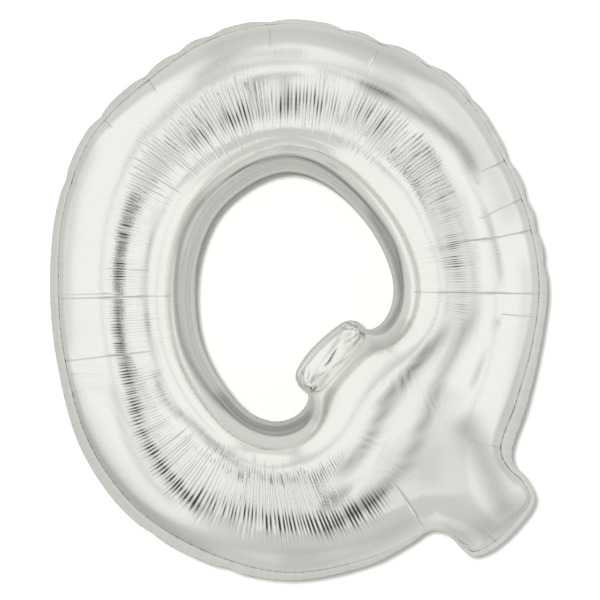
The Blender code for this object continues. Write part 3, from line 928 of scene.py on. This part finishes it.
def add_mesh(name, verts, faces, painted_shade, film):
    """Mesh object with smooth faces, one material and a value of painted shade for each point."""
    mesh = bpy.data.meshes.new(name)
    mesh.from_pydata(verts.tolist(), [], faces.tolist())
    held = mesh.attributes.new("painted_shade", "FLOAT", "POINT")
    held.data.foreach_set("value", np.clip(painted_shade, 0.0, 1.0).astype(np.float32))
    mesh.materials.append(film)
    mesh.shade_smooth()
    return placed(name, mesh)


def film_mesh(name, side, tables, film, sizes):
    """One inflated sheet as a single mesh; side is -1 for the front and +1 for the back."""
    ring, tail = sizes.ring_columns, TAIL_COLUMNS
    main, depth, tongue, tongue_depth, across = inflated_grids(ring)
    points = in_space(main, side * (depth + SEAM_GAP))
    lift, painted_shade = film_relief(main, to_picture(main, depth), across, tables, sizes)
    normal = ring_normals(points)
    normal *= np.sign(normal[len(points) // 2, 10, 1]) * side
    points += normal * lift[..., None]

    # Depth of the tongue's gathers, and the shade painted along them
    fan, tongue_shade = gathers(to_picture(tongue))
    tongue_points = in_space(tongue, side * (tongue_depth + SEAM_GAP))
    tongue_points[..., 1] += side * fan
    tongue_points[0, :-1] = points[0, ring:]
    tongue_points[0, -1] = points[0, 0]

    index, tongue_index = sheet_index(points.shape[:2], ring, TONGUE_ROWS, tail)
    verts = np.vstack([points.reshape(-1, 3), tongue_points[1:, 1:-1].reshape(-1, 3)])
    quads = np.vstack([cell_quads(wrapped(index)), cell_quads(tongue_index[:, ::-1])])
    if side < 0:
        quads = quads[:, ::-1]
    painted_shade = np.append(painted_shade.ravel(), tongue_shade[1:, 1:-1].ravel())
    return add_mesh(name, verts, quads, painted_shade, film)


def seam_mesh(name, seam, section, ripple, film, shade_table=()):
    """Two plies of film welded flat along an edge of the letter."""
    _, corner, into_film, notched, seed = seam
    share, extra, raised, shade_amount = np.array(section).T
    guide = seam_lines(seam, [(1.0, 0.0)], False)[0]
    lines = seam_lines(seam, list(zip(share, extra)), notched)
    parts = ring_and_tail(lines, guide, corner, *SEAM_COLUMNS)
    grid = np.stack([to_plane(np.vstack([ring[:-1], tail[:-1]])) for ring, tail in parts])
    hops = np.linalg.norm(np.diff(grid[0], axis=0), axis=1) / MM
    run = np.concatenate([[0.0], np.cumsum(hops)])
    wave = ripple * (smooth_noise(run / RIPPLE_MM[0], seed)
                     + 0.5 * smooth_noise(run / RIPPLE_MM[1], seed + 1))
    middle = wave[None, :] * np.clip(1 - share, 0, 1)[:, None]
    # Shade painted along the weld's rows, broken into dots on the outer weld, with the painted
    # bands added
    dots = np.ones(len(run))
    if notched:
        marks = (smooth_noise(run / DOTS_MM[0], seed + 2)
                 + 0.5 * smooth_noise(run / DOTS_MM[1], seed + 3))
        dots = 0.45 + 0.55 * ramp(marks, -0.3, 0.5)
    painted_shade = shade_amount[:, None] * dots[None, :]
    painted_shade = painted_shade + shade_bands(shade_table, to_picture(grid), np.ones(painted_shade.shape))
    half = WELD_HALF_THICKNESS + raised[:, None] * MM
    loop = np.vstack([in_space(grid, middle - half), in_space(grid, middle + half)[::-1]])
    index = np.arange(loop.shape[0] * loop.shape[1]).reshape(loop.shape[:2])
    quads = cell_quads(wrapped(np.vstack([index, index[:1]])))
    if into_film > 0:
        quads = quads[:, ::-1]
    painted_shade = np.vstack([painted_shade, painted_shade[::-1]]).ravel()
    return add_mesh(name, loop.reshape(-1, 3), quads, painted_shade, film)


def two_ply(points, quads, half):
    """Closed skin round a sheet: its points moved to both sides, with a band at each edge."""
    count = len(points)
    normal = np.zeros(points.shape)
    for k in range(4):
        a, b, c = (points[quads[:, (k + j) % 4]] for j in range(3))
        np.add.at(normal, quads[:, (k + 1) % 4], np.cross(b - a, c - b))
    normal /= np.linalg.norm(normal, axis=1, keepdims=True) + 1e-15
    edges = np.vstack([quads[:, [k, (k + 1) % 4]] for k in range(4)])
    known = {(int(a), int(b)) for a, b in edges}
    free = np.array([(a, b) for a, b in edges if (int(b), int(a)) not in known])
    a, b = free.T
    band = np.stack([b, a, a + count, b + count], axis=1)
    out = normal * half[:, None]
    return np.vstack([points + out, points - out]), np.vstack([quads, quads[:, ::-1] + count, band])


def tab_mesh(name, box, width, film):
    """Fill tab: two plies welded at the sides, bent back under the belly, with its hole."""
    rows, columns = TAB_GRID
    path = finer(np.array(TAB_PATH), rows, 0)
    share = np.linspace(0.0, 1.0, rows + 1)[:, None]
    side = np.linspace(-1.0, 1.0, columns + 1)[None, :]
    end = np.clip((share - TAB_ROUNDED) / (1 - TAB_ROUNDED), 0, 1)
    x = side * (width / 2 - TAB_CORNER * (1 - np.sqrt(1 - end ** 2 * 0.99)))
    y = np.repeat(path[:, :1], columns + 1, axis=1)
    ripple = plane_noise(x / TAB_RIPPLE_CELL + 9, share * 5.0, TAB_RIPPLE_SEED)
    z = path[:, 1:] + TAB_RIPPLE * ripple * ramp(share, 0.25, 0.6)
    points = np.stack([x, y, z], axis=2).reshape(-1, 3)
    quads = cell_quads(np.arange(len(points)).reshape(rows + 1, columns + 1))

    # The cells round the hole's middle go, and their rim is drawn onto its circle
    middle = np.array([0.0, TAB_HOLE_Y])
    away = np.hypot(points[:, 0], points[:, 1] - TAB_HOLE_Y)
    kept = away[quads].mean(axis=1) > TAB_HOLE_RADIUS
    rim = np.intersect1d(quads[kept], quads[~kept])
    from_hole = points[rim, :2] - middle
    points[rim, :2] = middle + from_hole * (TAB_HOLE_RADIUS / away[rim])[:, None]
    used, quads = np.unique(quads[kept], return_inverse=True)
    quads = quads.reshape(-1, 4)
    points, away = points[used], away[used] / MM

    edge = np.minimum((width / 2 - np.abs(points[:, 0])) / MM, 30.0)
    puff = TAB_PUFF * ramp(edge, TAB_WELD_MM, 12.0) * ramp(away, 8.0, 12.0)
    # Shade painted along the side welds, round the hole and across the bend
    painted_shade = (0.5 * bell(edge - TAB_WELD_MM, 0.9) + 0.3 * bell(away - TAB_HOLE_RADIUS / MM, 1.2)
               + 0.3 * bell(points[:, 1] - TAB_BEND_Y, 0.0014))
    verts, quads = two_ply(points, quads, TAB_HALF_THICKNESS + puff)
    low, high = Vector(box[0]), Vector(box[1])
    verts += np.array((low + high) / 2) - (verts.min(axis=0) + verts.max(axis=0)) / 2
    return add_mesh(name, verts, quads, np.tile(painted_shade, 2), film)


def new_material(name):
    """An empty material and its node tree."""
    made = bpy.data.materials.new(name)
    made.use_nodes = True
    made.node_tree.nodes.clear()
    return made, made.node_tree


def add_node(tree, kind, settings=(), links=()):
    """A node with its settings, and links from (node, socket) to its inputs."""
    node = tree.nodes.new(kind)
    for key, value in dict(settings).items():
        if isinstance(key, int) or (key in node.inputs and not hasattr(node, key)):
            node.inputs[key].default_value = value
        else:
            setattr(node, key, value)
    for socket, (source, output) in dict(links).items():
        tree.links.new(source.outputs[output], node.inputs[socket])
    return node


def metallised_film(name, colour, shade_grey, finish):
    """Nylon film with a layer of aluminium, laid on it in a vacuum, under a satin lacquer.

    The metal layer gives the eye soft but complete reflections in a cool silver, and the
    lacquer a fine grain. Where shade is painted on it, its colour is mixed towards dark grey
    and it is made rougher.
    """
    roughness, grain = finish
    made, tree = new_material(name)
    place = add_node(tree, "ShaderNodeTexCoord")
    speck = add_node(tree, "ShaderNodeTexNoise", {"Scale": 1 / (SPECK_MM * MM), "Detail": 2.0},
                     {"Vector": (place, "Object")})
    cloud = add_node(tree, "ShaderNodeTexNoise", {"Scale": 1 / (CLOUD_MM * MM), "Detail": 3.0},
                     {"Vector": (place, "Object")})
    gloss = add_node(tree, "ShaderNodeMapRange",
                     {"From Min": 0.3, "From Max": 0.7,
                      "To Min": roughness - 0.03, "To Max": roughness + 0.04},
                     {"Value": (cloud, "Fac")})
    bump = add_node(tree, "ShaderNodeBump", {"Strength": grain, "Distance": GRAIN_HEIGHT},
                    {"Height": (speck, "Fac")})
    fine = add_node(tree, "ShaderNodeMapRange",
                    {"From Min": 0.42, "From Max": 0.72, "To Min": 0.0, "To Max": 0.05},
                    {"Value": (speck, "Fac")})
    # Painted shade, read from each point, darkens the colour and roughens the film; the specks add
    # a little random tone
    shade_amount = add_node(tree, "ShaderNodeAttribute", {"attribute_name": "painted_shade"})
    both = add_node(tree, "ShaderNodeMath", {"operation": "ADD"},
                    {0: (shade_amount, "Fac"), 1: (fine, "Result")})
    rough = add_node(tree, "ShaderNodeMath", {"operation": "MULTIPLY_ADD", 1: PAINTED_SHADE_ROUGHNESS},
                     {0: (shade_amount, "Fac"), 2: (gloss, "Result")})
    grain_and_shade_colour = add_node(tree, "ShaderNodeMix",
                    {"data_type": "RGBA", "clamp_factor": True, MIX_A: colour, MIX_B: shade_grey},
                    {"Factor": (both, "Value")})
    shader = add_node(tree, "ShaderNodeBsdfPrincipled", {"Metallic": 1.0},
                      {"Base Color": (grain_and_shade_colour, MIX_RESULT), "Roughness": (rough, "Value"),
                       "Normal": (bump, "Normal")})
    add_node(tree, "ShaderNodeOutputMaterial", {}, {"Surface": (shader, "BSDF")})
    return made


def studio_paint(name, colour, one_way):
    """Matt emulsion, rolled on the studio's wall and floor: soft light and no reflections.

    A wall that is one way can't be seen from behind, so it hides nothing in other views.
    """
    made, tree = new_material(name)
    paint = add_node(tree, "ShaderNodeBsdfPrincipled", {"Base Color": colour, "Roughness": 0.9})
    surface = (paint, "BSDF")
    if one_way:
        side = add_node(tree, "ShaderNodeNewGeometry")
        clear = add_node(tree, "ShaderNodeBsdfTransparent")
        both = add_node(tree, "ShaderNodeMixShader", {},
                        {"Fac": (side, "Backfacing"), 1: surface, 2: (clear, "BSDF")})
        surface = (both, "Shader")
    add_node(tree, "ShaderNodeOutputMaterial", {}, {"Surface": surface})
    return made


class FoilBalloonSizes(bpy.types.PropertyGroup):
    """Sizes of the film's puckers, of its welds and of the fill tab."""

    pucker_depth: FloatProperty(
        name="Pucker depth", description="Scale of the puckers' depth",
        default=1.0, min=0.0, max=4.0, subtype="FACTOR")
    ring_columns: IntProperty(
        name="Ring columns", description="Columns of faces round the ring",
        default=2080, min=400, max=2100)
    outer_ripple: FloatProperty(
        name="Outer ripple", description="Height of the ripples in the outer weld",
        default=0.00035, min=0.0, max=0.002, precision=5, subtype="DISTANCE", unit="LENGTH")
    hole_ripple: FloatProperty(
        name="Hole ripple", description="Height of the ripples in the hole's weld",
        default=0.00015, min=0.0, max=0.002, precision=5, subtype="DISTANCE", unit="LENGTH")
    tab_width: FloatProperty(
        name="Tab width", description="Width of the fill tab",
        default=0.046, min=0.02, max=0.046, subtype="DISTANCE", unit="LENGTH")


def colour_property(name, description, code):
    """Colour with alpha that starts from an sRGB hex value."""
    return FloatVectorProperty(name=name, description=description, subtype="COLOR", size=4,
                               default=srgb_hex(code), min=0.0, max=1.0)


class FoilBalloonColours(bpy.types.PropertyGroup):
    """Colours of the film, the welds, the painted shade and the studio."""

    film: colour_property("Film", "Metallised film", "#F7F7F4")
    weld: colour_property("Weld", "Film pressed between the sealing bars", "#E8E8E4")
    # Dark grey painted into the film as shade and dark reflections
    shade_grey: colour_property("Painted shade grey", "Dark grey painted as shade and dark reflections", "#474845")
    wall: colour_property("Wall", "Studio wall", "#C9C9C7")
    floor: colour_property("Floor", "Studio floor", "#C9C9C6")


class FOIL_OT_front_sheet(bpy.types.Operator):
    """Inflated front sheet with its puckers and folds"""

    bl_idname = "foil.front_sheet"
    bl_label = "Front Film Sheet"

    def execute(self, context):
        colours = context.scene.foil_colours
        film = metallised_film("satin_metallised_film", colours.film, colours.shade_grey, FILM_FINISH)
        tables = (FRONT_PUCKERS, FRONT_FOLDS, FRONT_HOLLOWS, FRONT_SHADE_BANDS)
        sheet = film_mesh("front_film", -1, tables, film, context.scene.foil_sizes)
        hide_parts("front_sheet")
        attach(sheet, "root")
        return {"FINISHED"}


class FOIL_OT_back_sheet(bpy.types.Operator):
    """Inflated back sheet with puckers and folds of its own"""

    bl_idname = "foil.back_sheet"
    bl_label = "Back Film Sheet"

    def execute(self, context):
        colours = context.scene.foil_colours
        film = metallised_film("satin_metallised_film_back", colours.film, colours.shade_grey,
                               FILM_FINISH)
        tables = (BACK_PUCKERS, BACK_FOLDS, BACK_HOLLOWS, BACK_SHADE_BANDS)
        sheet = film_mesh("back_film", 1, tables, film, context.scene.foil_sizes)
        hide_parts("back_sheet")
        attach(sheet, "root")
        return {"FINISHED"}


class FOIL_OT_welds(bpy.types.Operator):
    """Flat welded seams round the letter and round its hole"""

    bl_idname = "foil.welds"
    bl_label = "Welded Seams"

    def execute(self, context):
        colours, sizes = context.scene.foil_colours, context.scene.foil_sizes
        # Hot bars pressed both plies flat, so the weld is a little greyer than the bare film
        # and its reflections are duller and broken into fine ribs
        film = metallised_film("heat_sealed_film", colours.weld, colours.shade_grey, WELD_FINISH)
        outer = seam_mesh("outer_weld", OUTER_SEAM, OUTER_SECTION, sizes.outer_ripple, film)
        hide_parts("outer_seam")
        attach(outer, "root")
        hole = seam_mesh("hole_weld", HOLE_SEAM, HOLE_SECTION, sizes.hole_ripple, film,
                         HOLE_WELD_SHADE_BANDS)
        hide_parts("hole_seam")
        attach(hole, "root")
        return {"FINISHED"}


class FOIL_OT_fill_tab(bpy.types.Operator):
    """Fill tab with its punched hole, bent back under the letter"""

    bl_idname = "foil.fill_tab"
    bl_label = "Fill Tab"

    def execute(self, context):
        colours, sizes = context.scene.foil_colours, context.scene.foil_sizes
        # Handled when a letter is filled, so taken to be duller than the smooth sheets
        film = metallised_film("tab_metallised_film", colours.weld, colours.shade_grey, TAB_FINISH)
        tab = tab_mesh("fill_tab_film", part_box("fill_tab"), sizes.tab_width, film)
        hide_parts("fill_tab")
        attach(tab, "root")
        return {"FINISHED"}


def towards(bearing, height):
    """Direction from the balloon, by degrees to the reader's right and degrees up."""
    bearing, height = math.radians(bearing), math.radians(height)
    level = math.cos(height)
    return Vector((math.sin(bearing) * level, -math.cos(bearing) * level, math.sin(height)))


def wall_light(name, place, aim, width, light):
    """Lamp for the wall alone: it lights matt paint, but no film shows it."""
    place, aim = Vector(place), Vector(aim)
    lamp = bpy.data.lights.new(name, "AREA")
    lamp.size = width
    lamp.energy = light * math.pi * (place - aim).length_squared * math.pi
    made = placed(name, lamp)
    made.location = place
    made.rotation_euler = (place - aim).to_track_quat("Z", "Y").to_euler()
    made.visible_camera = False
    made.visible_glossy = False


def stage_plane(name, corners, paint):
    """Flat piece of the studio, facing the side its corners wind towards."""
    mesh = bpy.data.meshes.new(name)
    mesh.from_pydata(corners, [], [tuple(range(len(corners)))])
    mesh.materials.append(paint)
    made = placed(name, mesh)
    return made


def room_zone(tree, view, row):
    """Node for how far a direction lies inside a soft disc or ring of the room."""
    name, bearing, height, ring, half, feather, amount = row
    aim = (towards(bearing, height) * Vector((1, 1, ROOM_SQUASH))).normalized()
    near = add_node(tree, "ShaderNodeVectorMath",
                    {"operation": "DOT_PRODUCT", "label": name, 1: aim}, {0: view})
    angle = add_node(tree, "ShaderNodeMath", {"operation": "ARCCOSINE"}, {0: (near, "Value")})
    away = add_node(tree, "ShaderNodeMath", {"operation": "SUBTRACT", 1: math.radians(ring)},
                    {0: (angle, "Value")})
    size = add_node(tree, "ShaderNodeMath", {"operation": "ABSOLUTE"}, {0: (away, "Value")})
    return add_node(tree, "ShaderNodeMapRange",
                    {"interpolation_type": "SMOOTHSTEP", "To Min": 0.0, "To Max": amount,
                     "From Min": math.radians(half + feather),
                     "From Max": math.radians(half - feather)}, {"Value": (size, "Value")})


def room_light(tree):
    """Nodes for the room's radiance by direction; gives the node and socket that hold it."""
    turn = add_node(tree, "ShaderNodeTexCoord")
    depth = add_node(tree, "ShaderNodeSeparateXYZ", {}, {"Vector": (turn, "Generated")})
    total = add_node(tree, "ShaderNodeMapRange",
                     {"From Min": -0.2, "From Max": 0.6, "To Min": ROOM_FRONT, "To Max": ROOM_REAR},
                     {"Value": (depth, "Y")})
    flat = add_node(tree, "ShaderNodeVectorMath", {"operation": "MULTIPLY", 1: (1, 1, ROOM_SQUASH)},
                    {0: (turn, "Generated")})
    view = (add_node(tree, "ShaderNodeVectorMath", {"operation": "NORMALIZE"},
                     {0: (flat, "Vector")}), "Vector")
    for row in ROOM_LIGHTS:
        zone = room_zone(tree, view, row)
        total = add_node(tree, "ShaderNodeMath", {"operation": "ADD"},
                         {0: (total, 0), 1: (zone, "Result")})
    total = add_node(tree, "ShaderNodeMath", {"operation": "MINIMUM", 1: ROOM_MOST},
                     {0: (total, 0)})
    for row in ROOM_SHADES:
        zone = room_zone(tree, view, row)
        left = add_node(tree, "ShaderNodeMath", {"operation": "SUBTRACT", 0: 1.0},
                        {1: (zone, "Result")})
        total = add_node(tree, "ShaderNodeMath", {"operation": "MULTIPLY"},
                         {0: (left, "Value"), 1: (total, 0)})
    return total, "Value"


def reflector_card(name, radiance, depth, corners_px):
    """White paper card with feathered edges, lit from within and close to the balloon.

    Only the film's reflections show it, as a soft white patch.
    """
    made, tree = new_material(name + "_light")
    glow = add_node(tree, "ShaderNodeEmission",
                    {"Color": srgb_hex(STUDIO_WHITE), "Strength": radiance})
    clear = add_node(tree, "ShaderNodeBsdfTransparent")
    place = add_node(tree, "ShaderNodeUVMap", {"uv_map": "card"})
    parts = add_node(tree, "ShaderNodeSeparateXYZ", {}, {"Vector": (place, "UV")})
    fades = []
    for axis in "XY":
        inside = add_node(tree, "ShaderNodeMath", {"operation": "PINGPONG", 1: 0.5},
                          {0: (parts, axis)})
        fades.append(add_node(tree, "ShaderNodeMapRange",
                              {"interpolation_type": "SMOOTHSTEP", "From Max": CARD_FEATHER},
                              {"Value": (inside, "Value")}))
    shown = add_node(tree, "ShaderNodeMath", {"operation": "MULTIPLY"},
                     {0: (fades[0], "Result"), 1: (fades[1], "Result")})
    both = add_node(tree, "ShaderNodeMixShader", {},
                    {"Fac": (shown, "Value"), 1: (clear, "BSDF"), 2: (glow, "Emission")})
    add_node(tree, "ShaderNodeOutputMaterial", {}, {"Surface": (both, "Shader")})
    plane = to_plane(np.array(corners_px, float))
    card = stage_plane(name, [(x, depth, z) for x, z in plane.tolist()], made)
    corners = card.data.uv_layers.new(name="card")
    for loop, uv in zip(corners.data, [(0, 0), (1, 0), (1, 1), (0, 1)]):
        loop.uv = uv
    card.visible_camera = False
    card.visible_diffuse = False
    card.visible_shadow = False


def studio_room(scene, colours):
    """Wall, floor and the white room all round, which the camera sees as plain white."""
    back, low, reach = WALL_DEPTH, FLOOR_HEIGHT, STUDIO_REACH
    wall = stage_plane("studio_wall", [(-reach, back, low), (reach, back, low),
                                       (reach, back, reach), (-reach, back, reach)],
                       studio_paint("white_wall_paint", colours.wall, True))
    floor = stage_plane("studio_floor", [(FLOOR_LEFT, FLOOR_FRONT, low), (reach, FLOOR_FRONT, low),
                                         (reach, back, low), (FLOOR_LEFT, back, low)],
                        studio_paint("pale_floor_paint", colours.floor, False))
    wall.visible_glossy = False
    floor.visible_glossy = False

    world = scene.world or bpy.data.worlds.new("studio_air")
    scene.world = world
    world.use_nodes = True
    tree = world.node_tree
    tree.nodes.clear()
    path = add_node(tree, "ShaderNodeLightPath")
    room = add_node(tree, "ShaderNodeBackground", {"Color": srgb_hex(STUDIO_WHITE)},
                    {"Strength": room_light(tree)})
    white = add_node(tree, "ShaderNodeBackground", {"Color": srgb_hex("#FFFFFF"), "Strength": 1.0})
    both = add_node(tree, "ShaderNodeMixShader", {},
                    {"Fac": (path, "Is Camera Ray"), 1: (room, 0), 2: (white, 0)})
    add_node(tree, "ShaderNodeOutputWorld", {}, {"Surface": (both, "Shader")})


def picture_camera(scene):
    """Camera straight in front, its lens set so that the frame holds the whole picture."""
    camera = bpy.data.cameras.new("picture_camera")
    camera.sensor_width = SENSOR_MM
    camera.lens = SENSOR_MM * CAMERA_DISTANCE / (FRAME_PX * METRES_PER_PX)
    camera.clip_end = 50.0
    eye = placed("picture_camera", camera)
    eye.location = ((FRAME_PX / 2 - CENTRE_PX[0]) * METRES_PER_PX, -CAMERA_DISTANCE, 0.0)
    eye.rotation_euler = (math.pi / 2, 0, 0)
    scene.camera = eye


class FOIL_OT_studio(bpy.types.Operator):
    """White wall, pale floor, soft room light and the camera"""

    bl_idname = "foil.studio"
    bl_label = "Studio"

    def execute(self, context):
        studio_room(context.scene, context.scene.foil_colours)
        for row in CARDS:
            reflector_card(*row)
        for row in WALL_LIGHTS:
            wall_light(*row)
        picture_camera(context.scene)
        context.scene.view_settings.view_transform = "Standard"
        return {"FINISHED"}


class FOIL_PT_panel(bpy.types.Panel):
    """Foil balloon's pieces in the 3D view's sidebar"""

    bl_label = "Foil Letter Balloon"
    bl_idname = "FOIL_PT_panel"
    bl_space_type = "VIEW_3D"
    bl_region_type = "UI"
    bl_category = "Balloon"

    def draw(self, context):
        for name in OPERATOR_ORDER:
            self.layout.operator("foil." + name)
        for group in (context.scene.foil_sizes, context.scene.foil_colours):
            for key in group.__annotations__:
                self.layout.prop(group, key)


OPERATOR_ORDER = ("front_sheet", "back_sheet", "welds", "fill_tab", "studio")
CLASSES = (
    FoilBalloonSizes,
    FoilBalloonColours,
    FOIL_OT_front_sheet,
    FOIL_OT_back_sheet,
    FOIL_OT_welds,
    FOIL_OT_fill_tab,
    FOIL_OT_studio,
    FOIL_PT_panel,
)


def register():
    for one in CLASSES:
        bpy.utils.register_class(one)
    bpy.types.Scene.foil_sizes = PointerProperty(type=FoilBalloonSizes)
    bpy.types.Scene.foil_colours = PointerProperty(type=FoilBalloonColours)


def unregister():
    del bpy.types.Scene.foil_colours
    del bpy.types.Scene.foil_sizes
    for one in reversed(CLASSES):
        bpy.utils.unregister_class(one)


def main():
    register()
    for name in OPERATOR_ORDER:
        getattr(bpy.ops.foil, name)()
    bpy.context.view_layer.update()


if __name__ == "__main__":
    main()
